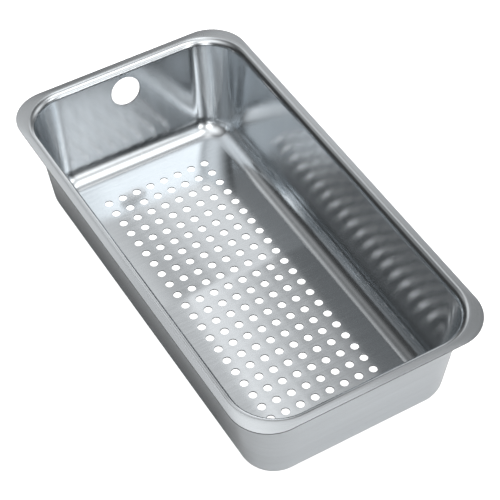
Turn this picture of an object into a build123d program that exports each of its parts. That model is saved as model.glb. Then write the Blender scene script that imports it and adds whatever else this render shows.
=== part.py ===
# Perforated strainer bowl for a kitchen sink, pressed from one sheet of stainless steel.
# Millimetres, +Z up, long side along X, origin under the middle of the base.
import os
from math import cos, floor, radians, sin, tan

from build123d import *

# Sheet and overall height
sheet = 1.0
height = 83.5

# Rim, a flat band that rolls down into the walls
rim_length = 362.5
rim_width = 190.0
rim_corner = 29.0
rim_land = 4.5
rim_roll = 5.5
edge_round = 0.25

# Walls, leaning outwards from the floor
end_draft = radians(8.5)
side_draft = radians(6.3)
mouth_corner = 32.0

# Floor
floor_round = 15.5
floor_corner = 9.0

# Drain holes in a square grid over the flat of the floor
drain_diameter = 6.2
drain_pitch = 12.0
drain_margin = 18.0

# Round hole high in one end wall
end_hole_diameter = 24.0
end_hole_drop = 19.9

# Levels and the sharp mouth, where the land and the wall would meet without the roll
rim_underside = height - sheet
mouth_length = rim_length - 2 * (rim_land + rim_roll * tan(radians(45) - end_draft / 2))
mouth_width = rim_width - 2 * (rim_land + rim_roll * tan(radians(45) - side_draft / 2))

# Foot of the wall, where the wall and the floor would meet without the round between them
end_reach = floor_round * tan(radians(45) - end_draft / 2)
side_reach = floor_round * tan(radians(45) - side_draft / 2)
foot_corner = floor_corner + side_reach
foot_length = mouth_length - 2 * rim_underside * tan(end_draft)
foot_width = mouth_width - 2 * rim_underside * tan(side_draft)

# Flat of the floor and the drain holes that fit on it
flat_length = foot_length - 2 * end_reach
flat_width = foot_width - 2 * side_reach
drain_rows = floor((flat_length - 2 * drain_margin) / drain_pitch) + 1
drain_columns = floor((flat_width - 2 * drain_margin) / drain_pitch) + 1


def wall_section(level, skin):
    """Length, width and corner radius of the wall's inner face at a level, grown outwards by a skin."""
    depth = height - level
    corner_taper = (mouth_corner - foot_corner) / rim_underside
    length = mouth_length - 2 * depth * tan(end_draft) + 2 * skin / cos(end_draft)
    width = mouth_width - 2 * depth * tan(side_draft) + 2 * skin / cos(side_draft)
    corner = mouth_corner - depth * corner_taper + skin
    return length, width, corner


def lowest_edges(solid):
    """Edges round the bottom face of a solid."""
    return solid.faces().sort_by(Axis.Z)[0].edges()


# Space inside the bowl
with BuildPart() as cavity:
    for level in (sheet, height):
        with BuildSketch(Plane.XY.offset(level)):
            RectangleRounded(*wall_section(level, 0))
    loft(ruled=True)
    fillet(lowest_edges(cavity), radius=floor_round)

# Pressed bowl
with BuildPart() as strainer_bowl:
    # Outside of the walls and floor
    for level in (0, rim_underside):
        with BuildSketch(Plane.XY.offset(level)):
            RectangleRounded(*wall_section(level, sheet))
    loft(ruled=True)
    fillet(lowest_edges(strainer_bowl), radius=floor_round + sheet)

    # Rim plate, its deburred outer edges and the hollow side of the roll
    with BuildSketch(Plane.XY.offset(rim_underside)):
        RectangleRounded(rim_length, rim_width, rim_corner)
    extrude(amount=sheet)
    rim_ledge, rim_top = strainer_bowl.faces().filter_by(Plane.XY).sort_by(Axis.Z)[1:]
    fillet(rim_ledge.outer_wire().edges() + rim_top.outer_wire().edges(), radius=edge_round)
    rim_ledge = strainer_bowl.faces().filter_by(Plane.XY).sort_by(Axis.Z)[1]
    fillet(rim_ledge.inner_wires()[0].edges(), radius=rim_roll - sheet)

    # Inside of the bowl and the round side of the roll
    add(cavity.part, mode=Mode.SUBTRACT)
    rim_top = strainer_bowl.faces().sort_by(Axis.Z)[-1]
    fillet(rim_top.inner_wires()[0].edges(), radius=rim_roll)

    # Drain holes
    with Locations((0, 0, sheet)):
        with GridLocations(drain_pitch, drain_pitch, drain_rows, drain_columns):
            Hole(drain_diameter / 2, depth=sheet)

    # End hole, punched square to the wall
    hole_height = height - end_hole_drop
    hole_reach = wall_section(hole_height, 0)[0] / 2
    wall_normal = (-cos(end_draft), 0, -sin(end_draft))
    end_wall = Plane(origin=(-hole_reach, 0, hole_height), x_dir=(0, 1, 0), z_dir=wall_normal)
    with BuildSketch(end_wall):
        Circle(end_hole_diameter / 2)
    extrude(amount=2 * sheet, both=True, mode=Mode.SUBTRACT)

strainer_bowl.part.label = "strainer_bowl"

os.makedirs("parts", exist_ok=True)
export_step(strainer_bowl.part, "parts/strainer_bowl.step")

print(f"rim {rim_length:.1f} x {rim_width:.1f}, height {height:.1f}")
print(f"flat floor {flat_length:.1f} x {flat_width:.1f}, drain holes {drain_rows} x {drain_columns}")
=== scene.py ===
from math import copysign, cos, log, pi, radians, sin, sqrt, tan

import bmesh
import bpy
from mathutils import Matrix, Vector


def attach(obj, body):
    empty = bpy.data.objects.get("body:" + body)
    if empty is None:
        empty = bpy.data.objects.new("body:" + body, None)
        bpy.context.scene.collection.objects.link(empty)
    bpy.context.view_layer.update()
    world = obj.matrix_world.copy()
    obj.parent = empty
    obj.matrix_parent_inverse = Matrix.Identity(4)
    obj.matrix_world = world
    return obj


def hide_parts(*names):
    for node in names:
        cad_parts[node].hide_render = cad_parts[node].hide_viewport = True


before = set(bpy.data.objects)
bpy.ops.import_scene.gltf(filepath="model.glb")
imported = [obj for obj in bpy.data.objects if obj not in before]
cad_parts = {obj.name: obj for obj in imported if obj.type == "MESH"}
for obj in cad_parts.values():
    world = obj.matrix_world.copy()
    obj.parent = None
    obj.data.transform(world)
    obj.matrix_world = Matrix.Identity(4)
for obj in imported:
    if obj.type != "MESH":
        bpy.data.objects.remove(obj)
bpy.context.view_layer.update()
mm = 0.001
tiny = 1e-6  # metres, between places that are the same
mergeGap = 1e-5

# strainer bowl: the solid's sizes in millimetres and degrees, then what only the mesh has
bowl = {
    "sheet": 1.0, "height": 83.5,
    "rimLength": 362.5, "rimWidth": 190.0, "rimCorner": 29.0, "rimLand": 4.5, "rimRoll": 5.5,
    "endDraft": 8.5, "sideDraft": 6.3, "mouthCorner": 32.0,
    "floorRound": 15.5, "floorCorner": 9.0,
    "drainDiameter": 6.2, "drainPitch": 12.0, "drainRows": 22, "drainColumns": 8,
    "endHoleDiameter": 24.0, "endHoleDrop": 19.9,
    "rimSlope": 3.0, "edgeRound": 0.12, "edgeAngle": 60.0, "endHoleBand": 30.0,
    "drainSides": 24, "cornerSides": 16, "longSides": 56, "shortSides": 18,
    "roundSteps": 12, "wallSteps": 5, "rollSteps": 10, "landSteps": 3, "edgeSteps": 2,
    "marginCuts": 4, "endHoleRows": 8, "endHolePatch": 5,
}


# small helpers for edit mode

def deselectAll():
    bpy.ops.object.select_all(action="DESELECT")


def activate(piece):
    deselectAll()
    piece.select_set(True)
    bpy.context.view_layer.objects.active = piece


def applyPlace():
    bpy.ops.object.transform_apply(location=True, rotation=True, scale=True)


def startEdit(piece, mode="VERT"):
    activate(piece)
    bpy.ops.object.mode_set(mode="EDIT")
    bpy.ops.mesh.select_mode(type=mode)
    bpy.ops.mesh.select_all(action="DESELECT")


def endEdit():
    bpy.ops.object.mode_set(mode="OBJECT")


def pickVerts(piece, wanted):
    # selects the vertices that pass a test, and the edges and faces between them
    mesh = bmesh.from_edit_mesh(piece.data)
    mesh.verts.index_update()
    for vert in mesh.verts:
        vert.select = wanted(vert)
    mesh.select_flush(False)
    mesh.select_flush(True)
    bmesh.update_edit_mesh(piece.data)


def pickEdges(piece, wanted):
    mesh = bmesh.from_edit_mesh(piece.data)
    for edge in mesh.edges:
        edge.select_set(False)
    for edge in mesh.edges:
        if wanted(edge):
            edge.select_set(True)
    bmesh.update_edit_mesh(piece.data)


def applyModifier(piece, kind, name, **settings):
    activate(piece)
    modifier = piece.modifiers.new(name, kind)
    for key, value in settings.items():
        setattr(modifier, key, value)
    bpy.ops.object.modifier_apply(modifier=name)


# profile of the bowl's inside, from the floor's edge up over the rim

def tangentLength(radius, draft):
    # from the sharp corner of a level face and a leaning wall to the start of the round between them
    return radius * tan(radians(45 - draft / 2))


def wallReach(half, draft, z):
    # half size of the straight wall at a level, from its half size at the top
    return half - (bowl["height"] - z) * tan(radians(draft))


def sharpMouth(half, draft):
    # half size at the top if wall and rim met in a sharp corner
    return half - bowl["rimLand"] - tangentLength(bowl["rimRoll"], draft)


def arcReach(radius, rise):
    # how far a round has run sideways where it has risen this far
    share = min(1.0, rise / radius)
    return radius * sqrt(max(0.0, 1 - (1 - share) ** 2))


def skinReach(half, draft, z):
    # half size of the inside at a level, with the floor's round and the rim's roll
    mouth = sharpMouth(half, draft)
    turned = 1 - sin(radians(draft))
    if z < bowl["sheet"] + bowl["floorRound"] * turned:
        flat = wallReach(mouth, draft, bowl["sheet"]) - tangentLength(bowl["floorRound"], draft)
        return flat + arcReach(bowl["floorRound"], z - bowl["sheet"])
    if z > bowl["height"] - bowl["rimRoll"] * turned:
        return half - bowl["rimLand"] - arcReach(bowl["rimRoll"], bowl["height"] - z)
    return wallReach(mouth, draft, z)


halfLength = bowl["rimLength"] / 2
halfWidth = bowl["rimWidth"] / 2
footCorner = bowl["floorCorner"] + tangentLength(bowl["floorRound"], bowl["sideDraft"])


def skinRing(z):
    # half length, half width, corner radius and level of the inside, in millimetres
    a = skinReach(halfLength, bowl["endDraft"], z)
    b = skinReach(halfWidth, bowl["sideDraft"], z)
    sharp = wallReach(sharpMouth(halfWidth, bowl["sideDraft"]), bowl["sideDraft"], z)
    share = (z - bowl["sheet"]) / (bowl["height"] - bowl["sheet"])
    corner = footCorner + (bowl["mouthCorner"] - footCorner) * share + b - sharp
    return a, b, corner, z


def steps(start, end, count):
    # even steps from just past the start up to the end
    return [start + (end - start) * step / count for step in range(1, count + 1)]


def profileRings():
    # every ring from the floor's edge to the rim's edge
    low, high = bowl["sheet"], bowl["height"]
    upright = radians(90 - bowl["sideDraft"])
    roundTop = low + bowl["floorRound"] * (1 - cos(upright))
    rollFoot = high - bowl["rimRoll"] * (1 - cos(upright))
    bandFoot = rollFoot - bowl["endHoleBand"]  # the rows of faces that the end hole is cut in
    levels = [low]
    levels += [low + bowl["floorRound"] * (1 - cos(turn)) for turn in steps(0, upright, bowl["roundSteps"])]
    levels += steps(roundTop, bandFoot, bowl["wallSteps"])
    levels += steps(bandFoot, rollFoot, bowl["endHoleRows"])
    levels += [high - bowl["rimRoll"] * (1 - cos(turn)) for turn in steps(upright, 0, bowl["rollSteps"])]
    rings = [skinRing(z) for z in levels]
    rimEdge = high - bowl["rimLand"] * tan(radians(bowl["rimSlope"]))  # the land sheds water outwards
    landEnd = (halfLength, halfWidth, bowl["rimCorner"], rimEdge)
    rings += zip(*(steps(p, q, bowl["landSteps"]) for p, q in zip(rings[-1], landEnd)))
    return rings


rings = profileRings()
print("profile rings", len(rings))


# one drain tile: a round hole joined to a square outline, repeated over a quarter of the floor

def makeFloor():
    pitch = bowl["drainPitch"] * mm
    spot = (pitch / 2, pitch / 2, bowl["sheet"] * mm)
    deselectAll()
    bpy.ops.mesh.primitive_plane_add(size=pitch, location=spot)
    tile = bpy.context.object
    tile.name = "bowlFloor"
    applyPlace()
    startEdit(tile, "EDGE")
    bpy.ops.mesh.select_all(action="SELECT")
    bpy.ops.mesh.delete(type="ONLY_FACE")
    bpy.ops.mesh.select_all(action="SELECT")
    bpy.ops.mesh.subdivide(number_cuts=bowl["drainSides"] // 4 - 1)
    bpy.ops.mesh.primitive_circle_add(vertices=bowl["drainSides"], radius=bowl["drainDiameter"] / 2 * mm,
                                      location=spot)
    bpy.ops.mesh.select_all(action="SELECT")
    bpy.ops.mesh.bridge_edge_loops()
    endEdit()
    for name, count, offset in (("rows", bowl["drainRows"] // 2, (pitch, 0, 0)),
                                ("columns", bowl["drainColumns"] // 2, (0, pitch, 0))):
        applyModifier(tile, "ARRAY", name, count=count, use_relative_offset=False, use_constant_offset=True,
                      constant_offset_displace=offset, use_merge_vertices=True, merge_threshold=mergeGap)
    return tile


# quarter of the shell, one ring after another from the floor's edge up

def growRing(shell, old, new):
    # extrudes the selected ring, then sets its corner and its two straight halves
    a, b, corner, z = (value * mm for value in old)
    a2, b2, corner2, z2 = (value * mm for value in new)
    bpy.ops.mesh.extrude_edges_move()
    mesh = bmesh.from_edit_mesh(shell.data)
    mesh.verts.index_update()
    ring = {vert.index: vert.co.copy() for vert in mesh.verts if vert.select}
    onLong = {index for index, p in ring.items() if p.x < a - corner - tiny}
    onShort = {index for index, p in ring.items() if p.y < b - corner - tiny} - onLong
    onCorner = set(ring) - onLong - onShort
    moves = (
        (onCorner, (corner2 / corner, corner2 / corner, 1), (a - corner, b - corner, z),
         (a2 - corner2 - a + corner, b2 - corner2 - b + corner, z2 - z)),
        (onLong, ((a2 - corner2) / (a - corner), 1, 1), (0, b, z), (0, b2 - b, z2 - z)),
        (onShort, (1, (b2 - corner2) / (b - corner), 1), (a, 0, z), (a2 - a, 0, z2 - z)),
    )
    for group, scale, centre, shift in moves:
        pickVerts(shell, lambda v: v.index in group)
        bpy.ops.transform.resize(value=scale, center_override=centre)
        bpy.ops.transform.translate(value=shift)
    pickVerts(shell, lambda v: v.index in ring)


def makeShell():
    a, b, corner, z = rings[0]
    deselectAll()
    bpy.ops.mesh.primitive_plane_add(size=1, location=(0, 0, 0))
    shell = bpy.context.object
    shell.name = "strainerBowl"
    shell.scale = (a * mm, b * mm, 1)
    shell.location = (a / 2 * mm, b / 2 * mm, z * mm)
    applyPlace()

    # the plane becomes the open line of the floor's edge, with its rounded corner
    startEdit(shell)
    pickVerts(shell, lambda v: v.co.x > tiny and v.co.y > tiny)
    bpy.ops.mesh.bevel(offset=corner * mm, segments=bowl["cornerSides"], profile=0.5, affect="VERTICES")
    bpy.ops.mesh.select_all(action="SELECT")
    bpy.ops.mesh.delete(type="ONLY_FACE")
    pickVerts(shell, lambda v: v.co.x < tiny and v.co.y < tiny)
    bpy.ops.mesh.delete(type="VERT")
    bpy.ops.mesh.select_mode(type="EDGE")
    pickEdges(shell, lambda e: all(v.co.y > b * mm - tiny for v in e.verts))
    bpy.ops.mesh.subdivide(number_cuts=bowl["longSides"] - 1)
    pickEdges(shell, lambda e: all(v.co.x > a * mm - tiny for v in e.verts))
    bpy.ops.mesh.subdivide(number_cuts=bowl["shortSides"] - 1)
    bpy.ops.mesh.select_mode(type="VERT")

    bpy.ops.mesh.select_all(action="SELECT")
    for old, new in zip(rings, rings[1:]):
        growRing(shell, old, new)
    endEdit()
    return shell


floorQuarter = makeFloor()
print("floor quarter", len(floorQuarter.data.polygons))
shell = makeShell()
print("shell quarter", len(shell.data.polygons))


# grain of the sheet: where a strand of metal stands part way up the wall, how far it has run from the floor,
# and the way that it runs

strandMarks = ("grain", "across")
strandCount = bowl["longSides"] + bowl["shortSides"] + bowl["cornerSides"] + 1
midRing = bowl["roundSteps"] + bowl["wallSteps"]


def ringRuns():
    runs = [0.0]
    for old, new in zip(rings, rings[1:]):
        runs.append(runs[-1] + sqrt((new[1] - old[1]) ** 2 + (new[3] - old[3]) ** 2))
    return runs


runs = ringRuns()


def marksOf(piece):
    return [piece.data.attributes[name].data for name in strandMarks]


def addMarks(piece):
    for name in strandMarks:
        piece.data.attributes.new(name, "FLOAT_VECTOR", "POINT")
    return marksOf(piece)


def markShellGrain(piece):
    grain, across = addMarks(piece)
    verts = piece.data.vertices
    strands = []
    for ring in range(len(rings)):
        span = range(ring * strandCount, (ring + 1) * strandCount)
        strands.append(sorted(span, key=lambda i: verts[i].co.y / (verts[i].co.x + tiny)))
    for ring, order in enumerate(strands):
        for place, index in enumerate(order):
            spot = verts[strands[midRing][place]].co
            below = verts[strands[max(0, ring - 1)][place]].co
            grain[index].vector = (spot.x, spot.y, runs[ring] * mm)
            across[index].vector = (verts[index].co - below).normalized() if ring else (1, 0, 0)


def markFloorGrain(piece):
    grain, across = addMarks(piece)
    for index, vert in enumerate(piece.data.vertices):
        grain[index].vector = (vert.co.x, vert.co.y, 0.0)
        across[index].vector = (1, 0, 0)


markShellGrain(shell)
markFloorGrain(floorQuarter)


# floor and shell become one skin, mirrored to the whole bowl

def joinSkin(shell, floorQuarter):
    activate(shell)
    floorQuarter.select_set(True)
    bpy.ops.object.join()
    flat = bowl["sheet"] * mm
    gridLength = bowl["drainRows"] * bowl["drainPitch"] / 2 * mm
    gridWidth = bowl["drainColumns"] * bowl["drainPitch"] / 2 * mm

    def onMargin(edge):
        # open edges of the flat, but not those on the mirror lines or round a drain hole
        p, q = (vert.co for vert in edge.verts)
        if not edge.is_boundary or max(abs(p.z - flat), abs(q.z - flat)) > tiny:
            return False
        if max(p.x, q.x) < tiny or max(p.y, q.y) < tiny:
            return False
        onLength = max(abs(p.x - gridLength), abs(q.x - gridLength)) < tiny
        onWidth = max(abs(p.y - gridWidth), abs(q.y - gridWidth)) < tiny
        outside = max(p.x, q.x) > gridLength + tiny or max(p.y, q.y) > gridWidth + tiny
        return onLength or onWidth or outside

    startEdit(shell, "EDGE")
    pickEdges(shell, onMargin)
    bpy.ops.mesh.bridge_edge_loops(number_cuts=bowl["marginCuts"], interpolation="LINEAR")
    endEdit()
    applyModifier(shell, "MIRROR", "quarters", use_axis=(True, True, False), use_mirror_merge=True,
                  merge_threshold=mergeGap)
    for marks in marksOf(shell):
        for index, vert in enumerate(shell.data.vertices):
            x, y, z = marks[index].vector
            marks[index].vector = (copysign(x, vert.co.x), copysign(y, vert.co.y), z)


joinSkin(shell, floorQuarter)
print("skin", len(shell.data.polygons))


# round hole in the end wall: a patch of the wall's faces is opened and bridged to a circle

def cutEndHole(piece):
    level = bowl["height"] - bowl["endHoleDrop"]
    reach, wide, corner, _ = skinRing(level)
    patchWide = (wide - corner) / bowl["shortSides"] * bowl["endHolePatch"] * mm
    patchFoot, patchTop = (rings[midRing + rows][3] * mm for rows in (0, bowl["endHoleRows"]))
    sides = 2 * (2 * bowl["endHolePatch"] + bowl["endHoleRows"])
    fan = 1.02  # the strands stand a little further apart at the top of the patch
    spare = 1e-4

    def inPatch(p, margin):
        inWidth = abs(p.y) < patchWide * fan + margin
        return p.x < 0 and inWidth and patchFoot - margin < p.z < patchTop + margin

    startEdit(piece, "FACE")
    mesh = bmesh.from_edit_mesh(piece.data)
    for face in mesh.faces:
        face.select_set(inPatch(face.calc_center_median(), 0.0))
    bmesh.update_edit_mesh(piece.data)
    bpy.ops.mesh.delete(type="FACE")
    bpy.ops.mesh.select_mode(type="EDGE")
    bpy.ops.mesh.primitive_circle_add(vertices=sides, radius=bowl["endHoleDiameter"] / 2 * mm,
                                      location=(-reach * mm, 0, level * mm),
                                      rotation=(0, radians(270 - bowl["endDraft"]), 0))
    pickEdges(piece, lambda e: len(e.link_faces) < 2 and all(inPatch(v.co, spare) for v in e.verts))
    bpy.ops.mesh.bridge_edge_loops(number_cuts=1, interpolation="LINEAR")
    bpy.ops.mesh.select_all(action="SELECT")
    bpy.ops.mesh.normals_make_consistent(inside=False)
    endEdit()

    # the new vertices lie on the same strands as the wall round them
    grain, across = marksOf(piece)
    lean = radians(bowl["endDraft"])
    midReach, midWide, midCorner, midLevel = rings[midRing]
    spread = (midWide - midCorner) / (wide - corner)
    for index, vert in enumerate(piece.data.vertices):
        if inPatch(vert.co, -spare):
            run = runs[midRing] + (vert.co.z / mm - midLevel) / cos(radians(bowl["sideDraft"]))
            grain[index].vector = (-midReach * mm, vert.co.y * spread, run * mm)
            across[index].vector = (-sin(lean), 0, cos(lean))


def facesUp(piece):
    # the drawn sheet's normals have to point into the bowl before it gets its thickness
    low = min(piece.data.polygons, key=lambda face: face.center.length)
    if low.normal.z < 0:
        startEdit(piece, "FACE")
        bpy.ops.mesh.select_all(action="SELECT")
        bpy.ops.mesh.flip_normals()
        endEdit()


cutEndHole(shell)
facesUp(shell)
print("end hole cut", len(shell.data.polygons))

activate(shell)
bpy.ops.object.shade_smooth()


# finish by zone: floor, walls and rim inside, then the outside, then the cut edges

zones = ("floor", "wall", "rim")


def markZones(piece):
    grain = piece.data.attributes["grain"].data
    rimStart = runs[-1 - bowl["landSteps"] - bowl["rollSteps"]] * mm - tiny
    for face in piece.data.polygons:
        faceRuns = [grain[index].vector[2] for index in face.vertices]
        zone = "floor" if max(faceRuns) < tiny else "rim" if min(faceRuns) > rimStart else "wall"
        face.material_index = zones.index(zone)


markZones(shell)


# the sheet's thickness, its rounded edges and clean shading

def thicken(piece):
    applyModifier(piece, "SOLIDIFY", "sheet", thickness=bowl["sheet"] * mm, offset=-1.0, use_even_offset=True,
                  use_quality_normals=True, use_rim=True, material_offset=len(zones),
                  material_offset_rim=2 * len(zones))
    applyModifier(piece, "BEVEL", "edges", width=bowl["edgeRound"] * mm, segments=bowl["edgeSteps"],
                  limit_method="ANGLE", angle_limit=radians(bowl["edgeAngle"]))
    applyModifier(piece, "WEIGHTED_NORMAL", "normals", mode="FACE_AREA", keep_sharp=False)


# small helpers for materials

steelTint = (0.955, 1.0, 1.035)  # a little blue
noiseSpan = (0.3, 0.7)  # nearly all of a noise's values
noiseRoughness = 0.6


def newMaterial(name):
    material = bpy.data.materials.new(name)
    material.use_nodes = True
    return material, material.node_tree, material.node_tree.nodes["Principled BSDF"]


def feed(tree, node, inputs):
    # an output of another node is linked, anything else is set
    for key, value in inputs.items():
        if isinstance(value, bpy.types.NodeSocket):
            tree.links.new(value, node.inputs[key])
        else:
            node.inputs[key].default_value = value


def addNode(tree, kind, label, inputs=None, **settings):
    node = tree.nodes.new(kind)
    node.name = node.label = label
    for key, value in settings.items():
        setattr(node, key, value)
    feed(tree, node, inputs or {})
    return node


def source(tree, name):
    # where a pattern lies: by the object's own axes, or by an attribute of the mesh
    if name == "place":
        return addNode(tree, "ShaderNodeTexCoord", name).outputs["Object"]
    return addNode(tree, "ShaderNodeAttribute", name, attribute_name=name).outputs["Vector"]


def splitAxes(tree, name):
    return addNode(tree, "ShaderNodeSeparateXYZ", name + " axes", {"Vector": source(tree, name)}).outputs


def pattern(tree, label, lies, scale, detail):
    # noise with a scale for each axis: a large one across the grain, a small one along it
    place = addNode(tree, "ShaderNodeMapping", label + " place", {
        "Vector": source(tree, lies), "Scale": scale})
    noise = addNode(tree, "ShaderNodeTexNoise", label, {
        "Vector": place.outputs["Vector"], "Scale": 1.0, "Detail": detail, "Roughness": noiseRoughness})
    return noise.outputs["Fac"]


def mapRange(tree, label, value, low, high, start, end):
    node = addNode(tree, "ShaderNodeMapRange", label, {
        "Value": value, "From Min": start, "From Max": end, "To Min": low, "To Max": high})
    return node.outputs["Result"]


def tintBy(tree, label, value, dark, light):
    inputs = {"Factor": value, "A": dark, "B": light}
    return addNode(tree, "ShaderNodeMix", label, inputs, data_type="RGBA").outputs["Result"]


def mathNode(tree, operation, label, *values):
    return addNode(tree, "ShaderNodeMath", label, dict(enumerate(values)), operation=operation).outputs[0]


def product(tree, label, value, *factors):
    for factor in factors:
        value = mathNode(tree, "MULTIPLY", label, value, factor)
    return value


def startSteel(name, finish):
    # steel whose tone and roughness follow its own marks
    material, tree, shader = newMaterial(name)
    marks = pattern(tree, *finish["marks"])
    dark, light = ([tone * tint for tint in steelTint] + [1] for tone in finish["tone"])
    feed(tree, shader, {
        "Metallic": 1.0,
        "Base Color": tintBy(tree, "tone", marks, dark, light),
        "Roughness": mapRange(tree, "roughness", marks, *finish["roughness"], *noiseSpan)})
    if "stretch" in finish:  # reflections smear along the strands, from the floor to the rim
        feed(tree, shader, {"Anisotropic": finish["stretch"], "Tangent": source(tree, "across")})
    return material, tree, shader, marks


def stackBumps(tree, shader, bumps):
    # one bump over another, each a label, a height and a distance
    under = {}
    for label, height, distance in bumps:
        inputs = {"Height": height, "Distance": distance, "Strength": 1.0, **under}
        under = {"Normal": addNode(tree, "ShaderNodeBump", label, inputs).outputs["Normal"]}
    feed(tree, shader, under)


# finishes: tones, roughness, and marks by name, what they lie along, scales and detail

floorFinish = {
    "tone": (0.56, 0.63), "roughness": (0.12, 0.155),
    "marks": ("brush lines", "place", (640, 45, 1), 1), "lineHeight": 1.5e-6,
    "wave": ("slow wave", "place", (28, 28, 28), 1), "waveHeight": 4e-5,
    "ridge": -0.012, "ridgeRound": 0.006, "field": 0.034, "marginBend": 1.2,
    "sag": {
        "far": {"side": "SMOOTH_MIN", "length": -0.134, "ridgeSlope": 0.040, "endSlope": -0.060},
        "near": {"side": "SMOOTH_MAX", "length": 0.158, "ridgeSlope": -0.027, "endSlope": 0.041},
    },
}


def floorSteel():
    material, tree, shader, lines = startSteel("floorSteel", floorFinish)
    bumps = [("wave bump", pattern(tree, *floorFinish["wave"]), floorFinish["waveHeight"])]
    axes = splitAxes(tree, "place")

    # the holes are punched in two strokes, and each half hangs a little from the ridge to its end
    fromRidge = mathNode(tree, "SUBTRACT", "from the ridge", axes["X"], floorFinish["ridge"])
    for half, sag in floorFinish["sag"].items():
        bend = (sag["endSlope"] - sag["ridgeSlope"]) / (2 * sag["length"])
        run = mathNode(tree, sag["side"], half + " run", fromRidge, 0.0, floorFinish["ridgeRound"])
        slope = mathNode(tree, "MULTIPLY", half + " bend", run, bend)
        slope = mathNode(tree, "ADD", half + " slope", slope, sag["ridgeSlope"])
        bumps.append((half + " sag bump", product(tree, half + " sag", run, slope), 1.0))

    # the plain margin beside the punched field falls a little
    out = mathNode(tree, "ABSOLUTE", "from the middle", axes["Y"])
    out = mathNode(tree, "SUBTRACT", "past the field", out, floorFinish["field"])
    out = mathNode(tree, "MAXIMUM", "margin", out, 0.0)
    bumps.append(("margin bump", product(tree, "margin fall", out, out), -floorFinish["marginBend"]))
    bumps.append(("line bump", lines, floorFinish["lineHeight"]))
    stackBumps(tree, shader, bumps)
    return material


wallFinish = {
    "tone": (0.56, 0.62), "roughness": (0.145, 0.17), "stretch": 0.8,
    "marks": ("drawn streaks", "grain", (420, 420, 9), 3), "streakHeight": 1e-5,
    "ripple": ("drawn ripple", "grain", (90, 90, 9), 1), "rippleHeight": 9e-5,
    "wave": ("slow wave", "place", (24, 24, 24), 1), "waveHeight": 1e-4,
    "startRun": 0.03, "endRun": 0.02,
}


def wallSteel():
    material, tree, shader, streaks = startSteel("wallSteel", wallFinish)
    # the marks of the draw fade in from the floor, where the strands stand close together in the corners,
    # and fade out below the rim
    run = splitAxes(tree, "grain")["Z"]
    rimRun = runs[-1 - bowl["landSteps"]] * mm
    fadeIn = mapRange(tree, "run up the wall", run, 0.0, 1.0, 0.0, wallFinish["startRun"])
    fadeOut = mapRange(tree, "run to the rim", run, 0.0, 1.0, rimRun, rimRun - wallFinish["endRun"])
    drawn = mathNode(tree, "MINIMUM", "drawn", fadeIn, fadeOut)
    ripple = product(tree, "faded ripple", pattern(tree, *wallFinish["ripple"]), drawn)
    stackBumps(tree, shader, (
        ("wave bump", pattern(tree, *wallFinish["wave"]), wallFinish["waveHeight"]),
        ("ripple bump", ripple, wallFinish["rippleHeight"]),
        ("streak bump", product(tree, "faded streaks", streaks, drawn), wallFinish["streakHeight"])))
    return material


rimFinish = {
    "tone": (0.55, 0.62), "roughness": (0.18, 0.22), "stretch": 0.5,
    "marks": ("brush lines", "grain", (12, 12, 2200), 3), "lineHeight": 3e-6,
}


def rimSteel():
    material, tree, shader, lines = startSteel("rimSteel", rimFinish)
    stackBumps(tree, shader, [("line bump", lines, rimFinish["lineHeight"])])
    return material


outsideFinish = {
    "tone": (0.53, 0.66), "roughness": (0.17, 0.22),
    "marks": ("brush lines", "grain", (9, 9, 240), 3), "lineHeight": 6e-6,
    "wave": ("slow wave", "place", (30, 30, 30), 2), "waveHeight": 1e-4,
}


def outsideSteel():
    material, tree, shader, lines = startSteel("outsideSteel", outsideFinish)
    stackBumps(tree, shader, (
        ("wave bump", pattern(tree, *outsideFinish["wave"]), outsideFinish["waveHeight"]),
        ("line bump", lines, outsideFinish["lineHeight"])))
    return material


# the cut edges' nearly black tone is painted shade, not a colour of the steel
shadedEdgeFinish = {
    "tone": (0.08, 0.14), "roughness": (0.38, 0.5),
    "marks": ("shear marks", "place", (900, 900, 300), 2), "shearHeight": 2e-5,
}


def shadedCutSteel():
    # sheared edges round the holes and the rim, duller than the faces, with a nearly black tone that is
    # painted shade where they fall dark
    material, tree, shader, shear = startSteel("shadedCutSteel", shadedEdgeFinish)
    stackBumps(tree, shader, [("shear bump", shear, shadedEdgeFinish["shearHeight"])])
    return material


def dressBowl(piece):
    # Solidify numbers the outside and the cut edges once for each zone, and they become one finish each
    inside = [floorSteel(), wallSteel(), rimSteel()]
    outside, cutEdge = outsideSteel(), shadedCutSteel()
    count = len(zones)
    for material in inside + [outside] * count + [cutEdge] * count:
        piece.data.materials.append(material)
    thicken(piece)
    slots = [face.material_index for face in piece.data.polygons]
    piece.data.materials.clear()
    for material in inside + [outside, cutEdge]:
        piece.data.materials.append(material)
    for face, slot in zip(piece.data.polygons, slots):
        face.material_index = slot if slot < count else count + slot // count - 1


dressBowl(shell)
triangles = sum(len(face.vertices) - 2 for face in shell.data.polygons)
print("bowl", len(shell.data.polygons), "faces", triangles, "triangles")

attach(shell, "root")
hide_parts("strainer_bowl")


# pale paper: the camera sees it even, and the bowl mirrors it lit and shaded

stage = {
    "size": 12.0, "drop": 0.0003, "colour": (0.9, 0.9, 0.9, 1), "shade": (0, 0, 0, 1), "roughness": 0.9,
    "shownGlow": 0.9, "underGlow": 0.8,
    "underBowl": {"X": (-0.023, 0.119), "Y": (0.0, 0.058)},  # middle and half size
    "farGlow": (-0.07, -0.09), "sideGlow": (0.033, 0.040),
    "shadeDepth": 0.58, "shadeReach": (-0.097, -0.083), "shadeWall": -0.07, "shadeFade": (0.09, 0.15),
}


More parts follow.
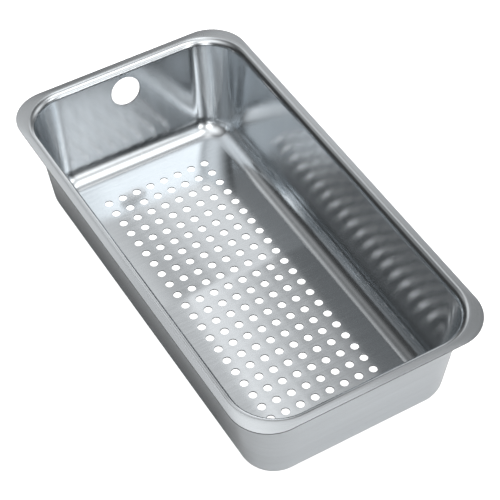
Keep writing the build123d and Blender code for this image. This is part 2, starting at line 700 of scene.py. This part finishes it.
def paperGlow(tree, axes, unseen):
    # light reaches the paper under the bowl from the far end and from the side of the wall that mirrors it
    farGlow = mapRange(tree, "far glow", axes["X"], 0.0, 1.0, *stage["farGlow"])
    sideGlow = mapRange(tree, "side glow", axes["Y"], 0.0, 1.0, *stage["sideGlow"])
    lit = mathNode(tree, "MAXIMUM", "lit paper", farGlow, sideGlow)
    within = []
    for axis, (middle, half) in stage["underBowl"].items():
        off = mathNode(tree, "SUBTRACT", "from the middle " + axis, axes[axis], middle)
        off = mathNode(tree, "ABSOLUTE", "off the middle " + axis, off)
        within.append(mathNode(tree, "LESS_THAN", "within " + axis, off, half))
    return product(tree, "under glow", lit, unseen, *within, stage["underGlow"])


def paperShade(tree, axes, unseen):
    # the bowl's own shade beside its left wall, which the wall mirrors
    depth = mapRange(tree, "shade", axes["Y"], 0.0, stage["shadeDepth"], *stage["shadeReach"])
    fade = mapRange(tree, "shade fade", axes["X"], 1.0, 0.0, *stage["shadeFade"])
    beside = mathNode(tree, "LESS_THAN", "beside the wall", axes["Y"], stage["shadeWall"])
    return product(tree, "left shade", depth, fade, beside, unseen)


def palePaper():
    material, tree, shader = newMaterial("palePaper")
    axes = splitAxes(tree, "place")
    seen = addNode(tree, "ShaderNodeLightPath", "path").outputs["Is Camera Ray"]
    unseen = mathNode(tree, "SUBTRACT", "unseen", 1.0, seen)
    shown = product(tree, "shown glow", seen, stage["shownGlow"])
    shade = paperShade(tree, axes, unseen)
    feed(tree, shader, {
        "Roughness": stage["roughness"], "Specular IOR Level": 0.0, "Emission Color": (1, 1, 1, 1),
        "Emission Strength": mathNode(tree, "ADD", "glow", paperGlow(tree, axes, unseen), shown),
        "Base Color": tintBy(tree, "paper tone", shade, stage["colour"], stage["shade"])})
    return material


def makeStage():
    deselectAll()
    bpy.ops.mesh.primitive_plane_add(size=stage["size"], location=(0, 0, -stage["drop"]))
    table = bpy.context.object
    table.name = "table"
    applyPlace()
    table.data.materials.append(palePaper())


makeStage()
print("stage made")


# soft studio light: broad lobes round the bowl, by direction, spread in degrees and radiance

studio = {
    "sideKey": {"azimuth": 80, "elevation": 28, "spread": 32, "radiance": 1.7},
    "key": {"azimuth": 22, "elevation": 59, "spread": 18, "radiance": 3.9},
    "frontSpot": {"azimuth": 328, "elevation": 9, "spread": 16, "radiance": 5.4},
    "front": {"azimuth": 36, "elevation": 30, "spread": 16, "radiance": 4.4},
    "backGlow": {"azimuth": 151, "elevation": 53, "spread": 16, "radiance": 0.48},
    "backSide": {"azimuth": 172, "elevation": 46, "spread": 16, "radiance": 1.5},
    "backLow": {"azimuth": 141, "elevation": 0, "spread": 30, "radiance": 3},
    "backFar": {"azimuth": 137, "elevation": 34, "spread": 16, "radiance": 1.4},
    "backHigh": {"azimuth": 144, "elevation": 69, "spread": 16, "radiance": 2.8},
    "leftHigh": {"azimuth": 205, "elevation": 46, "spread": 16, "radiance": 0.58},
    "frontLow": {"azimuth": 8, "elevation": 29, "spread": 16, "radiance": 5.4},
    "cameraFill": {"azimuth": 307, "elevation": 61, "spread": 40, "radiance": 2.2},
    "keySpot": {"azimuth": 57, "elevation": 62, "spread": 16, "radiance": 3.5},
    "frontFoot": {"azimuth": 12, "elevation": 0, "spread": 16, "radiance": 8},
    "frontSide": {"azimuth": 333, "elevation": 39, "spread": 16, "radiance": 5.9},
    "overhead": {"azimuth": 63, "elevation": 86, "spread": 16, "radiance": 1.3},
}
ambient = {"dome": 0.07, "backdrop": (0.97, 0.97, 0.97, 1)}
softBox = {"azimuth": 151.8, "elevation": 55, "distance": 6.0, "width": 0.36, "height": 3.2, "radiance": 0.8}


def heading(light):
    az, el = radians(light["azimuth"]), radians(light["elevation"])
    return Vector((cos(el) * cos(az), cos(el) * sin(az), sin(el)))


def makeLights():
    world = bpy.data.worlds.new("studio")
    bpy.context.scene.world = world
    world.use_nodes = True
    tree = world.node_tree
    tree.nodes.clear()
    place = addNode(tree, "ShaderNodeTexCoord", "direction").outputs["Generated"]
    ray = addNode(tree, "ShaderNodeVectorMath", "ray", {0: place}, operation="NORMALIZE").outputs["Vector"]
    total = ambient["dome"]
    for name, lobe in studio.items():
        sharp = log(2) / (1 - cos(radians(lobe["spread"] / 2)))
        near = addNode(tree, "ShaderNodeVectorMath", name + " nearness", {0: ray, 1: heading(lobe)},
                       operation="DOT_PRODUCT").outputs["Value"]
        fall = mathNode(tree, "MULTIPLY_ADD", name + " fall", near, sharp, -sharp)
        bell = mathNode(tree, "EXPONENT", name + " bell", fall)
        total = mathNode(tree, "MULTIPLY_ADD", name, bell, lobe["radiance"], total)
    glow = addNode(tree, "ShaderNodeBackground", "studio glow", {"Strength": total})
    backdrop = addNode(tree, "ShaderNodeBackground", "backdrop", {"Color": ambient["backdrop"]})
    seen = addNode(tree, "ShaderNodeLightPath", "path").outputs["Is Camera Ray"]
    mix = addNode(tree, "ShaderNodeMixShader", "backdrop for the camera", {
        0: seen, 1: glow.outputs["Background"], 2: backdrop.outputs["Background"]})
    addNode(tree, "ShaderNodeOutputWorld", "output", {"Surface": mix.outputs["Shader"]})


def makeSoftBox():
    # tall narrow box behind the bowl, whose image runs across the floor
    away = heading(softBox)
    data = bpy.data.lights.new("softBox", "AREA")
    data.shape = "RECTANGLE"
    data.size, data.size_y = softBox["width"], softBox["height"]
    data.energy = softBox["radiance"] * pi * softBox["width"] * softBox["height"]
    lamp = bpy.data.objects.new("softBox", data)
    lamp.location = away * softBox["distance"]
    lamp.rotation_euler = away.to_track_quat("Z", "Y").to_euler()
    lamp.visible_camera = False
    bpy.context.scene.collection.objects.link(lamp)


makeLights()
makeSoftBox()
print("lights", len(studio) + 1)


# camera at the photo's angle, fitted in pixels, degrees and millimetres

view = {"focalPixels": 1766.93, "framePixels": 500, "azimuth": 60.409, "elevation": 47.495, "roll": -1.337,
        "shiftX": 7.615, "shiftY": 28.323, "distance": 1293.814, "sensor": 36, "clip": (0.01, 100)}


def makeCamera():
    az, el, roll = (radians(view[key]) for key in ("azimuth", "elevation", "roll"))
    back = Vector((sin(az) * cos(el), -cos(az) * cos(el), sin(el)))
    level = Vector((cos(az), sin(az), 0))
    upright = level.cross(-back)
    right = cos(roll) * level + sin(roll) * upright
    up = cos(roll) * upright - sin(roll) * level
    data = bpy.data.cameras.new("photoCamera")
    data.sensor_width = view["sensor"]
    data.lens = view["focalPixels"] / view["framePixels"] * view["sensor"]
    data.clip_start, data.clip_end = view["clip"]
    camera = bpy.data.objects.new("photoCamera", data)
    pose = Matrix((right, up, back)).transposed().to_4x4()
    pose.translation = (view["shiftX"] * right + view["shiftY"] * up + view["distance"] * back) * mm
    camera.matrix_world = pose
    bpy.context.scene.collection.objects.link(camera)
    bpy.context.scene.camera = camera


makeCamera()
print("camera set")
bpy.context.scene.view_settings.view_transform = "Standard"
